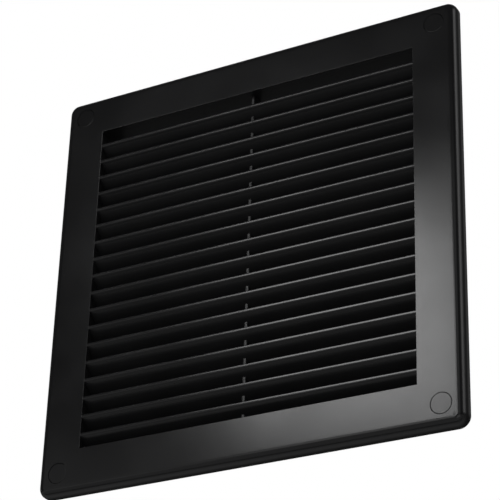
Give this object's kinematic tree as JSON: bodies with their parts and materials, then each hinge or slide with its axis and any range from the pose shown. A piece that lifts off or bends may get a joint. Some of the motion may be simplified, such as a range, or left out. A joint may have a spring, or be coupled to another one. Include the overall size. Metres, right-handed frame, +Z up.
{
  "type": "soffit vent",
  "caption": "Square louvred plastic soffit vent: a flat flange with rounded edges, sloping louvres tied by a centre rib, a rear collar, and corner screw caps.",
  "frame": {"origin": "centre of the opening, on the wall plane against which the flange lies", "axes": "+Z up as the picture shows the vent, +X right seen from the front, +Y into the wall, so the face looks towards -Y"},
  "size_m": [0.2, 0.018, 0.2],
  "materials": {
    "grille_plastic": "black moulded plastic with a satin sheen",
    "cap_plastic": "black moulded plastic with a satin sheen"
  },
  "bodies": {
    "root": {"louvre_grille": "grille_plastic", "screw_cap_top_left": "cap_plastic", "screw_cap_top_right": "cap_plastic", "screw_cap_bottom_left": "cap_plastic", "screw_cap_bottom_right": "cap_plastic"}
  },
  "joints": []
}
